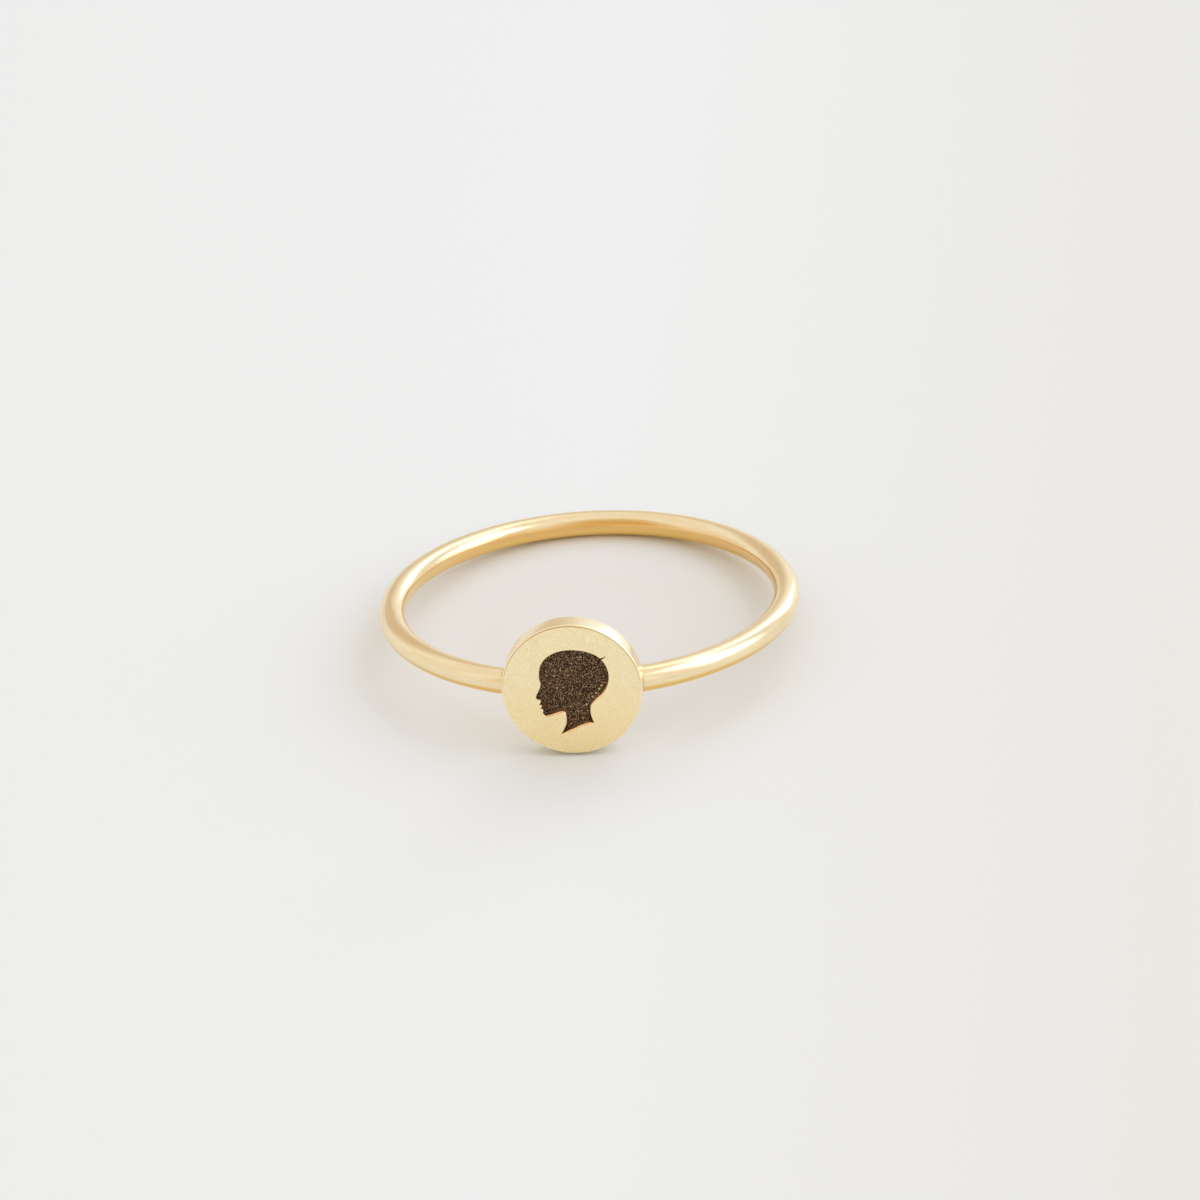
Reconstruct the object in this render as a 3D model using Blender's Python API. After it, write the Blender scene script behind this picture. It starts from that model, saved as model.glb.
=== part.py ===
"""A stackable disc ring, lying on its side as it rests on a table.

A round gold wire is closed into a finger ring. A flat disc is let into the front of the
wire and soldered there, and a head in profile is sunk into the disc's face. Soldered
gold is one piece of metal, so the ring is one solid.

Metres, +Z up, and the disc faces -Y. In the ring's own frame the finger goes along Z and
the wire's centre line is a circle about the origin. The ring is then tipped back until it
rests on the disc's lower back edge and on the far side of the wire.
"""

import math

import bmesh
import bpy
from mathutils import Vector
from mathutils.geometry import interpolate_bezier

MM = 0.001

# Finger hole and wire
BORE_DIAMETER = 17.3 * MM
WIRE_DIAMETER = 1.2 * MM

# Disc, let into the wire so that a little of the wire runs on behind its back
DISC_DIAMETER = 6.4 * MM
DISC_THICKNESS = 1.0 * MM
WIRE_BEHIND_DISC = 0.15 * MM
DISC_EDGE_ROUND = 0.06 * MM

# The wire's front is filed flat inside the disc, this far behind the disc's face
FILED_BEHIND_FACE = 0.35 * MM

# Sunk head: crown to chin, depth, and where the ear line and the chin lie from the disc's middle
HEAD_HEIGHT = 3.33 * MM
HEAD_DEPTH = 0.25 * MM
EAR_LINE_RIGHT = 0.08 * MM
CHIN_BELOW_MIDDLE = 1.34 * MM

# Outline of the head from the crown, round by the face. Shares of the head's height:
# ahead of the ear line, and above the chin. A corner is a sharp point.
SMOOTH = False
CORNER = True
HEAD_OUTLINE = (
    # ahead, above, kind
    (0.030, 1.000, SMOOTH),
    (0.205, 0.972, SMOOTH),
    (0.350, 0.893, SMOOTH),
    (0.436, 0.782, SMOOTH),
    (0.466, 0.668, SMOOTH),
    (0.470, 0.570, SMOOTH),
    (0.456, 0.488, SMOOTH),
    (0.484, 0.405, SMOOTH),
    (0.527, 0.318, SMOOTH),
    (0.532, 0.282, SMOOTH),
    (0.508, 0.254, SMOOTH),
    (0.470, 0.242, SMOOTH),
    (0.482, 0.205, SMOOTH),
    (0.486, 0.182, SMOOTH),
    (0.460, 0.162, SMOOTH),
    (0.476, 0.132, SMOOTH),
    (0.446, 0.098, SMOOTH),
    (0.452, 0.058, SMOOTH),
    (0.424, 0.014, SMOOTH),
    (0.360, 0.000, SMOOTH),
    (0.245, 0.036, SMOOTH),
    (0.165, 0.050, SMOOTH),
    (0.136, -0.010, SMOOTH),
    (0.146, -0.115, SMOOTH),
    (0.215, -0.262, CORNER),
    (0.070, -0.226, SMOOTH),
    (-0.090, -0.150, SMOOTH),
    (-0.258, -0.100, CORNER),
    (-0.222, 0.025, SMOOTH),
    (-0.232, 0.135, SMOOTH),
    (-0.306, 0.232, SMOOTH),
    (-0.424, 0.345, SMOOTH),
    (-0.486, 0.490, SMOOTH),
    (-0.494, 0.640, SMOOTH),
    (-0.458, 0.766, SMOOTH),
    (-0.412, 0.838, CORNER),
    (-0.446, 0.860, SMOOTH),
    (-0.466, 0.906, CORNER),
    (-0.428, 0.880, SMOOTH),
    (-0.384, 0.870, CORNER),
    (-0.320, 0.920, SMOOTH),
    (-0.160, 0.980, SMOOTH),
)
OUTLINE_STEPS = 3

# Facets
WIRE_SIDES = 20
BEHIND_DISC_STEPS = 14
OPEN_WIRE_STEPS = 110
DISC_SIDES = 96
EDGE_ROUND_STEPS = 2

# How far a cutter stands clear of the face that it cuts
CUTTER_CLEAR = 0.2 * MM

# Worked out from the sizes above
wire_radius = WIRE_DIAMETER / 2
ring_radius = BORE_DIAMETER / 2 + wire_radius
disc_radius = DISC_DIAMETER / 2
disc_back = BORE_DIAMETER / 2 + WIRE_BEHIND_DISC
disc_face = disc_back + DISC_THICKNESS


def clear_scene():
    """Take away whatever the scene holds."""
    for scene_object in list(bpy.data.objects):
        bpy.data.objects.remove(scene_object, do_unlink=True)


def metal(name, color, roughness):
    """A metal finish with the given colour and roughness."""
    material = bpy.data.materials.new(name)
    material.use_nodes = True
    shader = material.node_tree.nodes["Principled BSDF"]
    shader.inputs["Base Color"].default_value = (*color, 1.0)
    shader.inputs["Metallic"].default_value = 1.0
    shader.inputs["Roughness"].default_value = roughness
    return material


def object_from(name, shape, material, parent):
    """Put a bmesh into the scene as a smooth shaded object under the parent."""
    mesh = bpy.data.meshes.new(name)
    bmesh.ops.recalc_face_normals(shape, faces=shape.faces)
    shape.to_mesh(mesh)
    shape.free()
    mesh.materials.append(material)
    mesh.shade_smooth()
    mesh.set_sharp_from_angle(angle=math.radians(30))
    scene_object = bpy.data.objects.new(name, mesh)
    scene_object.parent = parent
    bpy.context.scene.collection.objects.link(scene_object)
    return scene_object


def tool_from(name, shape, material, parent):
    """A shape that only joins or cuts another, so it isn't part of the model."""
    tool = object_from(name, shape, material, parent)
    tool.hide_render = True
    tool.display_type = "WIRE"
    return tool


def wire_stations():
    """Angles along the wire from the disc's middle, evenly behind the disc and in the open."""
    rim = math.asin(disc_radius / ring_radius)
    stretches = (
        (-rim, rim, BEHIND_DISC_STEPS),
        (rim, 2 * math.pi - rim, OPEN_WIRE_STEPS),
    )
    angles = []
    for start, end, steps in stretches:
        angles += [start + (end - start) * step / steps for step in range(steps)]
    return angles


def wire_shape():
    """The closed round wire, filed flat where the disc sits."""
    shape = bmesh.new()
    rings = []
    for station in wire_stations():
        outwards = Vector((math.sin(station), -math.cos(station), 0))
        ring = []
        for number in range(WIRE_SIDES):
            side = 2 * math.pi * number / WIRE_SIDES
            point = outwards * (ring_radius + wire_radius * math.cos(side))
            point.z = wire_radius * math.sin(side)
            ring.append(shape.verts.new(point))
        rings.append(ring)
    for number, ring in enumerate(rings):
        following = rings[(number + 1) % len(rings)]
        for side in range(WIRE_SIDES):
            beside = (side + 1) % WIRE_SIDES
            shape.faces.new((ring[side], ring[beside], following[beside], following[side]))
    filed = bmesh.ops.bisect_plane(
        shape,
        geom=shape.verts[:] + shape.edges[:] + shape.faces[:],
        plane_co=(0, FILED_BEHIND_FACE - disc_face, 0),
        plane_no=(0, -1, 0),
        clear_outer=True,
    )
    rim_edges = [item for item in filed["geom_cut"] if isinstance(item, bmesh.types.BMEdge)]
    bmesh.ops.holes_fill(shape, edges=rim_edges)
    return shape


def disc_shape():
    """The flat disc, with both edges rounded and a flat of its rim straight below."""
    shape = bmesh.new()
    corner_radius = disc_radius / math.cos(math.pi / DISC_SIDES)
    below = -math.pi / 2 - math.pi / DISC_SIDES
    front = []
    for number in range(DISC_SIDES):
        angle = below + 2 * math.pi * number / DISC_SIDES
        place = (corner_radius * math.cos(angle), -disc_face, corner_radius * math.sin(angle))
        front.append(shape.verts.new(place))
    face = shape.faces.new(front)
    grown = bmesh.ops.extrude_face_region(shape, geom=[face])
    back = [item for item in grown["geom"] if isinstance(item, bmesh.types.BMVert)]
    bmesh.ops.translate(shape, verts=back, vec=(0, DISC_THICKNESS, 0))
    shape.normal_update()
    edges = [edge for edge in shape.edges if edge.calc_face_angle() > math.radians(45)]
    bmesh.ops.bevel(
        shape,
        geom=edges,
        offset=DISC_EDGE_ROUND,
        segments=EDGE_ROUND_STEPS,
        profile=0.5,
        affect="EDGES",
    )
    return shape


def outline_place(ahead, above):
    """A point of the head's outline on the disc's face, from its shares of the head's height."""
    across = EAR_LINE_RIGHT - ahead * HEAD_HEIGHT
    up = above * HEAD_HEIGHT - CHIN_BELOW_MIDDLE
    return Vector((across, -disc_face, up))


def head_outline():
    """The head's outline as a smooth closed run of points, sharp at its corners."""
    places = [outline_place(ahead, above) for ahead, above, _ in HEAD_OUTLINE]
    corners = [kind for _, _, kind in HEAD_OUTLINE]
    count = len(places)
    points = []
    for number in range(count):
        here = places[number]
        then = places[(number + 1) % count]
        third = (then - here).length / 3
        leaving = (then - here).normalized()
        arriving = leaving
        if not corners[number]:
            leaving = (then - places[number - 1]).normalized()
        if not corners[(number + 1) % count]:
            arriving = (places[(number + 2) % count] - here).normalized()
        handle_here = here + leaving * third
        handle_then = then - arriving * third
        curve = interpolate_bezier(here, handle_here, handle_then, then, OUTLINE_STEPS + 1)
        points += curve[:-1]
    return points


def head_cutter_shape():
    """The block of the head's outline that is cut out of the disc's face."""
    shape = bmesh.new()
    clear = Vector((0, -CUTTER_CLEAR, 0))
    face = shape.faces.new([shape.verts.new(point + clear) for point in head_outline()])
    grown = bmesh.ops.extrude_face_region(shape, geom=[face])
    floor = [item for item in grown["geom"] if isinstance(item, bmesh.types.BMVert)]
    bmesh.ops.translate(shape, verts=floor, vec=(0, CUTTER_CLEAR + HEAD_DEPTH, 0))
    return shape


def combine(target, tool, operation):
    """Join the tool to the target, or cut it out, as a live modifier."""
    modifier = target.modifiers.new(tool.name, "BOOLEAN")
    modifier.operation = operation
    modifier.solver = "EXACT"
    modifier.material_mode = "TRANSFER"
    modifier.object = tool


def tip_angle():
    """How far the ring tips so that the disc's lower back edge and the far wire lie level.

    Both lowest points are rounds: the edge's centre and the wire's centre line, each less
    its own radius. Setting their heights equal gives one sine of the angle.
    """
    apart = ring_radius + disc_back + DISC_EDGE_ROUND
    drop = disc_radius - DISC_EDGE_ROUND
    level = math.asin((DISC_EDGE_ROUND - wire_radius) / math.hypot(apart, drop))
    return math.atan2(drop, apart) + level


def rest_pose():
    """An empty that carries the ring, tipped as it lies, with the origin under its middle."""
    tip = tip_angle()
    edge_ahead = (disc_face - DISC_EDGE_ROUND) * math.cos(tip)
    edge_down = (disc_radius - DISC_EDGE_ROUND) * math.sin(tip)
    front = edge_ahead + edge_down + DISC_EDGE_ROUND
    back = ring_radius * math.cos(tip) + wire_radius
    pose = bpy.data.objects.new("rest_pose", None)
    pose.rotation_euler = (-tip, 0, 0)
    pose.location = (0, (front - back) / 2, ring_radius * math.sin(tip) + wire_radius)
    bpy.context.scene.collection.objects.link(pose)
    return pose


def build():
    """Make the ring as one soldered solid."""
    clear_scene()
    gold = metal("gold", (0.86, 0.66, 0.33), 0.22)
    blackened = metal("blackened_gold", (0.09, 0.06, 0.04), 0.75)
    pose = rest_pose()
    ring = object_from("disc_ring", wire_shape(), gold, pose)
    disc = tool_from("disc", disc_shape(), gold, pose)
    head = tool_from("sunk_head", head_cutter_shape(), blackened, pose)
    combine(ring, disc, "UNION")
    combine(ring, head, "DIFFERENCE")


build()
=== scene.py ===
"""Dresses a stackable disc ring in polished and satin gold, lying on a pale floor.

The ring is a round gold wire with a flat disc soldered into its front. A head in profile is
sunk into the disc's face and blackened. Shapes are worked out in the ring's own frame, where
the finger goes along Z and the wire's centre line is a circle about the origin, and are then
tipped back as the ring lies. Lengths are in metres.
"""

import logging
import math
from dataclasses import dataclass, field
from enum import Enum

import bmesh
import bpy
import numpy as np
from mathutils import Matrix
from mathutils.geometry import delaunay_2d_cdt


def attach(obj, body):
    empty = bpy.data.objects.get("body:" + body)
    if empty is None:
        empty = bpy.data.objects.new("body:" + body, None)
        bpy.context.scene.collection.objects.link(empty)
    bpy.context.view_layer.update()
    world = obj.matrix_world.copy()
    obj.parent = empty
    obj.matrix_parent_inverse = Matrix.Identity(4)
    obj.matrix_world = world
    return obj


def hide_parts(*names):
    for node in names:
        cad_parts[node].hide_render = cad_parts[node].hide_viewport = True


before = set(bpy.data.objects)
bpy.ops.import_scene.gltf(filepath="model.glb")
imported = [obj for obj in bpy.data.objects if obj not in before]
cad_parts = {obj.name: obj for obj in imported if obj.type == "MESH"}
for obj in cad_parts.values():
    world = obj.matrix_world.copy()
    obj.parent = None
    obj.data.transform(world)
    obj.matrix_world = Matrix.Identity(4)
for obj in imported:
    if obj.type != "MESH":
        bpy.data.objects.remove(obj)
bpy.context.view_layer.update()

MM = 0.001
UM = 0.000001
NODE = "disc_ring"
BODY = "root"

# How flat points are joined: over their whole hull, welded where they are this close
WHOLE_HULL = 0
WELD_DISTANCE = 1e-9

Array = np.ndarray
Colour = tuple[float, float, float, float]
Span = tuple[float, float]
Socket = bpy.types.NodeSocket
Inputs = dict[str | int, object]

log = logging.getLogger("ring")


class Kind(Enum):
    """How the head's outline passes a point: on a smooth curve, or at a sharp corner."""

    SMOOTH = False
    CORNER = True


class Polish(Enum):
    """How a part of the gold was left: bright from the buff, or satin from fine paper."""

    BRIGHT = 0.0
    BRUSHED = 0.6
    SATIN = 1.0


class Mixing(Enum):
    """What a mix works on, by the numbers of its share, low and high inputs and its output."""

    FLOAT = (0, 2, 3, 0)
    RGBA = (0, 6, 7, 2)


S = Kind.SMOOTH
C = Kind.CORNER

# The head's outline from the crown, round by the face, in shares of the head's height
HEAD_OUTLINE = (
    # ahead of the ear line, above the chin, kind
    (0.030, 1.000, S),
    (0.205, 0.972, S),
    (0.350, 0.893, S),
    (0.436, 0.782, S),
    (0.466, 0.668, S),
    (0.470, 0.570, S),
    (0.456, 0.488, S),
    (0.484, 0.405, S),
    (0.527, 0.318, S),
    (0.532, 0.282, S),
    (0.508, 0.254, S),
    (0.470, 0.242, S),
    (0.482, 0.205, S),
    (0.486, 0.182, S),
    (0.460, 0.162, S),
    (0.476, 0.132, S),
    (0.446, 0.098, S),
    (0.452, 0.058, S),
    (0.424, 0.014, S),
    (0.360, 0.000, S),
    (0.245, 0.036, S),
    (0.165, 0.050, S),
    (0.136, -0.010, S),
    (0.146, -0.115, S),
    (0.215, -0.262, C),
    (0.070, -0.226, S),
    (-0.090, -0.150, S),
    (-0.258, -0.100, C),
    (-0.222, 0.025, S),
    (-0.232, 0.135, S),
    (-0.306, 0.232, S),
    (-0.424, 0.345, S),
    (-0.486, 0.490, S),
    (-0.494, 0.640, S),
    (-0.458, 0.766, S),
    (-0.412, 0.838, C),
    (-0.446, 0.860, S),
    (-0.466, 0.906, C),
    (-0.428, 0.880, S),
    (-0.384, 0.870, C),
    (-0.320, 0.920, S),
    (-0.160, 0.980, S),
)

# Five small bright gold specks in the hair's blackening, in millimetres across and up from the
# disc's middle
HAIR_SPECKS = ((1.327, 0.075), (1.226, -0.096), (1.056, -0.291), (0.908, -0.487), (0.591, -0.852))


@dataclass(frozen=True)
class RingSizes:
    """The driving sizes of the ring, and what follows from them."""

    bore: float = 17.3 * MM
    wire: float = 1.2 * MM
    disc: float = 6.4 * MM
    thickness: float = 1.0 * MM
    wire_behind_disc: float = 0.15 * MM
    edge_round: float = 0.06 * MM
    filed_behind_face: float = 0.35 * MM

    @property
    def wire_radius(self) -> float:
        """Half of the wire's thickness."""
        return self.wire / 2

    @property
    def ring_radius(self) -> float:
        """Radius of the wire's centre line."""
        return self.bore / 2 + self.wire_radius

    @property
    def disc_radius(self) -> float:
        """Half of the disc's width."""
        return self.disc / 2

    @property
    def disc_back(self) -> float:
        """How far the disc's back is from the finger's axis."""
        return self.bore / 2 + self.wire_behind_disc

    @property
    def disc_face(self) -> float:
        """How far the disc's face is from the finger's axis."""
        return self.disc_back + self.thickness


@dataclass(frozen=True)
class RestPose:
    """The way the ring lies: tipped back on the disc's lower back edge and the far wire."""

    sizes: RingSizes

    @property
    def tip(self) -> float:
        """Angle that tips the ring until both of its lowest rounds touch the floor.

        Returns:
            The slope of the line between the two rounds' middles, less the angle whose sine is
            the difference of their radii over the line's length.
        """
        size = self.sizes
        apart = size.ring_radius + size.disc_back + size.edge_round
        drop = size.disc_radius - size.edge_round
        level = math.asin((size.edge_round - size.wire_radius) / math.hypot(apart, drop))
        return math.atan2(drop, apart) + level

    def matrix(self) -> Matrix:
        """From the ring's own frame to the way it lies, with the origin under its middle.

        Returns:
            A turn about X by minus the tip, then a move that levels and centres the ring.
        """
        size = self.sizes
        edge_ahead = (size.disc_face - size.edge_round) * math.cos(self.tip)
        edge_down = (size.disc_radius - size.edge_round) * math.sin(self.tip)
        front = edge_ahead + edge_down + size.edge_round
        back = size.ring_radius * math.cos(self.tip) + size.wire_radius
        height = size.ring_radius * math.sin(self.tip) + size.wire_radius
        move = Matrix.Translation((0, (front - back) / 2, height))
        return move @ Matrix.Rotation(-self.tip, 4, "X")

    def place(self, points: Array) -> Array:
        """Carry points from the ring's own frame to the way it lies.

        Args:
            points: one row of three coordinates for each point.

        Returns:
            The same points, turned and moved by the pose's matrix.
        """
        pose = np.array(self.matrix())
        return points @ pose[:3, :3].T + pose[:3, 3]


@dataclass
class Patch:
    """Faces collected for one mesh, with marks that its material reads at each point."""

    points: list[Array] = field(default_factory=list)
    quads: list[Array] = field(default_factory=list)
    triangles: list[Array] = field(default_factory=list)
    marks: dict[str, list[Array]] = field(default_factory=dict)
    count: int = 0

    def add_points(self, points: Array, **marks: Array | float) -> Array:
        """Add points and their marks.

        Args:
            points: an array whose last axis is the three coordinates.
            marks: a value, or one for each point, for each mark.

        Returns:
            The new points' numbers, in the shape of the array given.
        """
        shape = points.shape[:-1]
        total = int(np.prod(shape))
        self.points.append(points.reshape(-1, 3))
        for name, value in marks.items():
            spread = np.broadcast_to(np.asarray(value, float), shape).reshape(-1)
            self.marks.setdefault(name, []).append(spread)
        numbers = np.arange(self.count, self.count + total).reshape(shape)
        self.count += total
        return numbers

    def add_strip(self, numbers: Array, close_rows: bool = False) -> None:
        """Join a grid of points whose columns run round and close, row to row.

        Args:
            numbers: the points' numbers, one row for each loop.
            close_rows: whether the last row joins the first.
        """
        after = np.roll(numbers, -1, axis=1)
        below = np.roll(numbers, -1, axis=0)
        corner = np.roll(after, -1, axis=0)
        faces = np.stack((numbers, after, corner, below), axis=-1)
        if not close_rows:
            faces = faces[:-1]
        self.quads.append(faces.reshape(-1, 4))

    def mesh(self, name: str, pose: RestPose) -> bpy.types.Mesh:
        """Put everything into one smooth mesh with its faces outwards.

        Args:
            name: the mesh's name.
            pose: the way the ring lies.

        Returns:
            The new mesh, in place, with a float attribute for each mark.
        """
        places = pose.place(np.concatenate(self.points))
        quads = np.concatenate(self.quads or [np.empty((0, 4), int)])
        triangles = np.concatenate(self.triangles or [np.empty((0, 3), int)])
        corners = np.concatenate((quads.ravel(), triangles.ravel()))
        totals = np.repeat((4, 3), (len(quads), len(triangles)))
        starts = np.concatenate(([0], np.cumsum(totals)[:-1]))
        made = bpy.data.meshes.new(name)
        made.vertices.add(len(places))
        made.vertices.foreach_set("co", places.ravel())
        made.loops.add(len(corners))
        made.loops.foreach_set("vertex_index", corners)
        made.polygons.add(len(totals))
        made.polygons.foreach_set("loop_start", starts)
        made.update(calc_edges=True)
        made.validate()
        for mark, values in self.marks.items():
            set_mark(made, mark, np.concatenate(values))
        turned = bmesh.new()
        turned.from_mesh(made)
        bmesh.ops.recalc_face_normals(turned, faces=turned.faces)
        turned.to_mesh(made)
        turned.free()
        made.shade_smooth()
        return made

    def add_flat(self, numbers: Array, flat: Array, loops: list[Array], inside: bool) -> None:
        """Cover flat points with triangles that keep the given loops as edges.

        Args:
            numbers: the points' numbers.
            flat: their places, as rows of two coordinates.
            loops: which of the points run round each loop.
            inside: whether the last loop is the cover's own edge, or else a hole in it.
        """
        edges = np.concatenate([np.stack((loop, np.roll(loop, -1)), axis=1) for loop in loops])
        _, _, faces, origins, _, _ = delaunay_2d_cdt(
            (flat / MM).tolist(), edges.tolist(), [], WHOLE_HULL, WELD_DISTANCE
        )
        triangles = np.array(origins)[:, 0][np.array(faces)]
        middle = flat[triangles].mean(axis=1)
        kept = inside_outline(middle, flat[loops[-1]]) == inside
        self.triangles.append(numbers[triangles[kept]])


def even_turn(count: int) -> Array:
    """Angles that divide a full turn evenly."""
    return np.linspace(0, 2 * math.pi, count, endpoint=False)


def quarter_round(share: Array) -> Array:
    """Height of a hollow quarter round: one at share nought, level with its end at share one."""
    inside = 1 - np.clip(share, 0, 1)
    return 1 - np.sqrt(np.clip(1 - inside**2, 0, 1))


def smooth_step(share: Array) -> Array:
    """The usual S of a share from nought to one: three squares less two cubes."""
    held = np.clip(share, 0, 1)
    return held * held * (3 - 2 * held)


def span_step(value: Array, start: float, end: float) -> Array:
    """The usual S of how far a value is from start to end."""
    return smooth_step((value - start) / (end - start))


def inside_outline(points: Array, outline: Array) -> Array:
    """Which points lie inside a closed outline.

    A line drawn from the point to the right crosses the outline an odd number of times.

    Args:
        points: rows of two coordinates.
        outline: rows of two coordinates, round the outline.

    Returns:
        True for each point that is inside.
    """
    x, y = points[:, None, 0], points[:, None, 1]
    x0, y0 = outline[:, 0], outline[:, 1]
    x1, y1 = np.roll(x0, -1), np.roll(y0, -1)
    spans = (y0 > y) != (y1 > y)
    rise = np.where(y1 == y0, 1.0, y1 - y0)
    meets = x < x0 + (y - y0) * (x1 - x0) / rise
    return (spans & meets).sum(axis=1) % 2 == 1


def direction(azimuth: float | Array, elevation: float | Array) -> Array:
    """Unit directions from the ring.

    Across is the sine and behind is minus the cosine of the azimuth, each times the cosine
    of the elevation, and up is the sine of the elevation.

    Args:
        azimuth: radians, nought in front of the disc and a quarter turn to its right.
        elevation: radians upwards.

    Returns:
        Three coordinates on the last axis.
    """
    level = np.cos(elevation)
    parts = (np.sin(azimuth) * level, -np.cos(azimuth) * level, np.sin(elevation))
    return np.stack(np.broadcast_arrays(*parts), axis=-1)


def set_mark(mesh: bpy.types.Mesh, name: str, values: Array) -> None:
    """Give a mesh a number for each point, under a name that its material reads."""
    attribute = mesh.attributes.new(name, "FLOAT", "POINT")
    attribute.data.foreach_set("value", values)


def show(name: str, data: bpy.types.ID) -> bpy.types.Object:
    """Put a mesh, a light or a camera into the scene.

    Args:
        name: the new object's name.
        data: what the object shows.

    Returns:
        The new object, at the origin.
    """
    made = bpy.data.objects.new(name, data)
    bpy.context.scene.collection.objects.link(made)
    return made


class Nodes:
    """A material's nodes, added and joined in a few words."""

    def __init__(self, name: str) -> None:
        """Start a new material.

        Args:
            name: the material's name.
        """
        self.material = bpy.data.materials.new(name)
        self.material.use_nodes = True
        self.tree = self.material.node_tree

    def dress(self, inputs: Inputs) -> bpy.types.Material:
        """Feed the material's own shader, and give the material back."""
        self.feed(self.tree.nodes["Principled BSDF"], inputs)
        return self.material

    def feed(self, node: bpy.types.Node, inputs: Inputs) -> None:
        """Give a node's inputs values, or join outputs to them.

        Args:
            node: the node.
            inputs: an output, a number or a colour for each input's name or number.
        """
        for name, value in inputs.items():
            if isinstance(value, Socket):
                self.tree.links.new(value, node.inputs[name])
            else:
                node.inputs[name].default_value = value

    def add(self, kind: str, inputs: Inputs, **settings: object) -> bpy.types.Node:
        """Add a node, set its own properties by name and feed its inputs.

        Args:
            kind: Blender's name for the node type, without its leading ShaderNode.
            inputs: what feeds each input.
            settings: the node's properties.

        Returns:
            The new node.
        """
        node = self.tree.nodes.new("ShaderNode" + kind)
        for name, value in settings.items():
            setattr(node, name, value)
        self.feed(node, inputs)
        return node

    def mark(self, name: str) -> Socket:
        """The value that the mesh carries under this name."""
        return self.add("Attribute", {}, attribute_name=name).outputs["Fac"]

    def place(self, source: str) -> Socket:
        """The piece's own coordinates, Object or UV."""
        return self.add("TexCoord", {}).outputs[source]

    def sum(self, operation: str, *values: object) -> Socket:
        """A number worked out from others, by Blender's name for the sum."""
        return self.add("Math", dict(enumerate(values)), operation=operation).outputs[0]

    def mix(self, kind: Mixing, *values: object) -> Socket:
        """A value between two others, from a share, the low one and the high one."""
        *numbers, output = kind.value
        return self.add("Mix", dict(zip(numbers, values)), data_type=kind.name).outputs[output]

    def blend(self, share: object, low: object, high: object) -> Socket:
        """A number between low and high, by the share."""
        return self.mix(Mixing.FLOAT, share, low, high)

    def tint(self, share: object, low: object, high: object) -> Socket:
        """A colour between low and high, by the share."""
        return self.mix(Mixing.RGBA, share, low, high)

    def noise(self, place: object, scale: float = 1.0, detail: float = 2.0) -> Socket:
        """Soft noise at a place, scale cells to the unit."""
        inputs = {"Vector": place, "Scale": scale, "Detail": detail}
        return self.add("TexNoise", inputs).outputs["Fac"]

    def clip(self, value: object, low: float, high: float) -> Socket:
        """A value read as a share of the way from low to high, held between nought and one."""
        inputs = {"Value": value, "From Min": low, "From Max": high}
        return self.add("MapRange", inputs).outputs["Result"]

    def part(self, place: object, axis: str) -> Socket:
        """The X, Y or Z of a place."""
        return self.add("SeparateXYZ", {"Vector": place}).outputs[axis]

    def length(self, place: object) -> Socket:
        """How far a place is from the origin."""
        return self.add("VectorMath", {"Vector": place}, operation="LENGTH").outputs["Value"]

    def stretch(self, place: object, scale: tuple[float, float, float]) -> Socket:
        """A place scaled by a different amount along each axis."""
        return self.add("Mapping", {"Vector": place, "Scale": scale}).outputs["Vector"]

    def bump(self, height: object, depth: float, below: object = None) -> Socket:
        """A bumpy normal from a height of nought to one.

        Args:
            height: the height's output.
            depth: how much a height of one stands up, in metres.
            below: the normal that this one stands on, if any.

        Returns:
            The normal.
        """
        inputs = {"Distance": depth, "Height": height}
        if below is not None:
            inputs["Normal"] = below
        return self.add("Bump", inputs).outputs["Normal"]


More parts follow.
